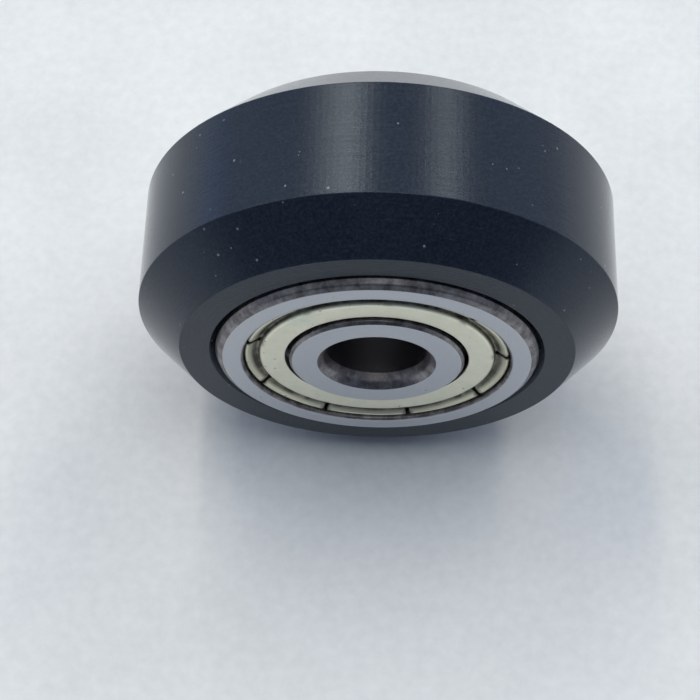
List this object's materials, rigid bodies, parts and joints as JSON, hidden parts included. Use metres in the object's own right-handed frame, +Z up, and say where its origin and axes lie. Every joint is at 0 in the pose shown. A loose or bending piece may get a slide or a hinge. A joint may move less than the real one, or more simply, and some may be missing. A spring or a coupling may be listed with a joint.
{
  "type": "cam follower",
  "caption": "Yoke-type cam follower: a solid plastic roller with a bevelled edge on each side, turning on shielded ball bearings with a plain through bore.",
  "frame": {"origin": "centre of the bore, halfway between the two side faces", "axes": "+Y along the bore from the front bearing to the rear one, +Z up as the roller stands on its tread"},
  "size_m": [0.0239, 0.011, 0.0238],
  "materials": {
    "roller_plastic": "turned, satin black",
    "ring_steel": "fine ground",
    "ball_steel": "polished",
    "shield_sheet": "passivated sheet, faint yellow-green",
    "cage_sheet": "pressed sheet",
    "washer_steel": "bright stamped"
  },
  "bodies": {
    "hub": {"front_inner_ring": "ring_steel", "rear_inner_ring": "ring_steel", "inner_ring_washer": "washer_steel"},
    "roller": {"v_roller": "roller_plastic", "front_outer_ring": "ring_steel", "front_outer_shield": "shield_sheet", "front_inner_shield": "shield_sheet", "rear_outer_ring": "ring_steel", "rear_outer_shield": "shield_sheet", "rear_inner_shield": "shield_sheet"},
    "front_cage": {"front_cage_outer_half": "cage_sheet", "front_cage_inner_half": "cage_sheet", "front_cage_rivets": "cage_sheet"},
    "front_ball_1": {"front_ball_1": "ball_steel"},
    "front_ball_2": {"front_ball_2": "ball_steel"},
    "front_ball_3": {"front_ball_3": "ball_steel"},
    "front_ball_4": {"front_ball_4": "ball_steel"},
    "front_ball_5": {"front_ball_5": "ball_steel"},
    "front_ball_6": {"front_ball_6": "ball_steel"},
    "front_ball_7": {"front_ball_7": "ball_steel"},
    "rear_cage": {"rear_cage_outer_half": "cage_sheet", "rear_cage_inner_half": "cage_sheet", "rear_cage_rivets": "cage_sheet"},
    "rear_ball_1": {"rear_ball_1": "ball_steel"},
    "rear_ball_2": {"rear_ball_2": "ball_steel"},
    "rear_ball_3": {"rear_ball_3": "ball_steel"},
    "rear_ball_4": {"rear_ball_4": "ball_steel"},
    "rear_ball_5": {"rear_ball_5": "ball_steel"},
    "rear_ball_6": {"rear_ball_6": "ball_steel"},
    "rear_ball_7": {"rear_ball_7": "ball_steel"}
  },
  "joints": [
    {"name": "roller_spin", "type": "hinge", "parent": "hub", "child": "roller", "pos_m": [0, 0, 0], "axis": [0, 1, 0], "continuous": true},
    {"name": "front_cage_turn", "type": "hinge", "parent": "hub", "child": "front_cage", "pos_m": [0, -0.003, 0], "axis": [0, 1, 0], "continuous": true},
    {"name": "front_ball_1_spin", "type": "hinge", "parent": "front_cage", "child": "front_ball_1", "pos_m": [0.00327, -0.003, -0.0041], "axis": [0, 1, 0], "continuous": true},
    {"name": "front_ball_2_spin", "type": "hinge", "parent": "front_cage", "child": "front_ball_2", "pos_m": [-0.00117, -0.003, -0.00512], "axis": [0, 1, 0], "continuous": true},
    {"name": "front_ball_3_spin", "type": "hinge", "parent": "front_cage", "child": "front_ball_3", "pos_m": [-0.00473, -0.003, -0.00228], "axis": [0, 1, 0], "continuous": true},
    {"name": "front_ball_4_spin", "type": "hinge", "parent": "front_cage", "child": "front_ball_4", "pos_m": [-0.00473, -0.003, 0.00228], "axis": [0, 1, 0], "continuous": true},
    {"name": "front_ball_5_spin", "type": "hinge", "parent": "front_cage", "child": "front_ball_5", "pos_m": [-0.00117, -0.003, 0.00512], "axis": [0, 1, 0], "continuous": true},
    {"name": "front_ball_6_spin", "type": "hinge", "parent": "front_cage", "child": "front_ball_6", "pos_m": [0.00327, -0.003, 0.0041], "axis": [0, 1, 0], "continuous": true},
    {"name": "front_ball_7_spin", "type": "hinge", "parent": "front_cage", "child": "front_ball_7", "pos_m": [0.00525, -0.003, 0], "axis": [0, 1, 0], "continuous": true},
    {"name": "rear_cage_turn", "type": "hinge", "parent": "hub", "child": "rear_cage", "pos_m": [0, 0.003, 0], "axis": [0, 1, 0], "continuous": true},
    {"name": "rear_ball_1_spin", "type": "hinge", "parent": "rear_cage", "child": "rear_ball_1", "pos_m": [0.00327, 0.003, -0.0041], "axis": [0, 1, 0], "continuous": true},
    {"name": "rear_ball_2_spin", "type": "hinge", "parent": "rear_cage", "child": "rear_ball_2", "pos_m": [-0.00117, 0.003, -0.00512], "axis": [0, 1, 0], "continuous": true},
    {"name": "rear_ball_3_spin", "type": "hinge", "parent": "rear_cage", "child": "rear_ball_3", "pos_m": [-0.00473, 0.003, -0.00228], "axis": [0, 1, 0], "continuous": true},
    {"name": "rear_ball_4_spin", "type": "hinge", "parent": "rear_cage", "child": "rear_ball_4", "pos_m": [-0.00473, 0.003, 0.00228], "axis": [0, 1, 0], "continuous": true},
    {"name": "rear_ball_5_spin", "type": "hinge", "parent": "rear_cage", "child": "rear_ball_5", "pos_m": [-0.00117, 0.003, 0.00512], "axis": [0, 1, 0], "continuous": true},
    {"name": "rear_ball_6_spin", "type": "hinge", "parent": "rear_cage", "child": "rear_ball_6", "pos_m": [0.00327, 0.003, 0.0041], "axis": [0, 1, 0], "continuous": true},
    {"name": "rear_ball_7_spin", "type": "hinge", "parent": "rear_cage", "child": "rear_ball_7", "pos_m": [0.00525, 0.003, 0], "axis": [0, 1, 0], "continuous": true}
  ],
  "couplings": [
    {"joint": "front_cage_turn", "follows": "roller_spin", "ratio": 0.63229},
    {"joint": "front_ball_1_spin", "follows": "roller_spin", "ratio": 1.7576},
    {"joint": "front_ball_2_spin", "follows": "roller_spin", "ratio": 1.7576},
    {"joint": "front_ball_3_spin", "follows": "roller_spin", "ratio": 1.7576},
    {"joint": "front_ball_4_spin", "follows": "roller_spin", "ratio": 1.7576},
    {"joint": "front_ball_5_spin", "follows": "roller_spin", "ratio": 1.7576},
    {"joint": "front_ball_6_spin", "follows": "roller_spin", "ratio": 1.7576},
    {"joint": "front_ball_7_spin", "follows": "roller_spin", "ratio": 1.7576},
    {"joint": "rear_cage_turn", "follows": "roller_spin", "ratio": 0.63229},
    {"joint": "rear_ball_1_spin", "follows": "roller_spin", "ratio": 1.7576},
    {"joint": "rear_ball_2_spin", "follows": "roller_spin", "ratio": 1.7576},
    {"joint": "rear_ball_3_spin", "follows": "roller_spin", "ratio": 1.7576},
    {"joint": "rear_ball_4_spin", "follows": "roller_spin", "ratio": 1.7576},
    {"joint": "rear_ball_5_spin", "follows": "roller_spin", "ratio": 1.7576},
    {"joint": "rear_ball_6_spin", "follows": "roller_spin", "ratio": 1.7576},
    {"joint": "rear_ball_7_spin", "follows": "roller_spin", "ratio": 1.7576}
  ]
}
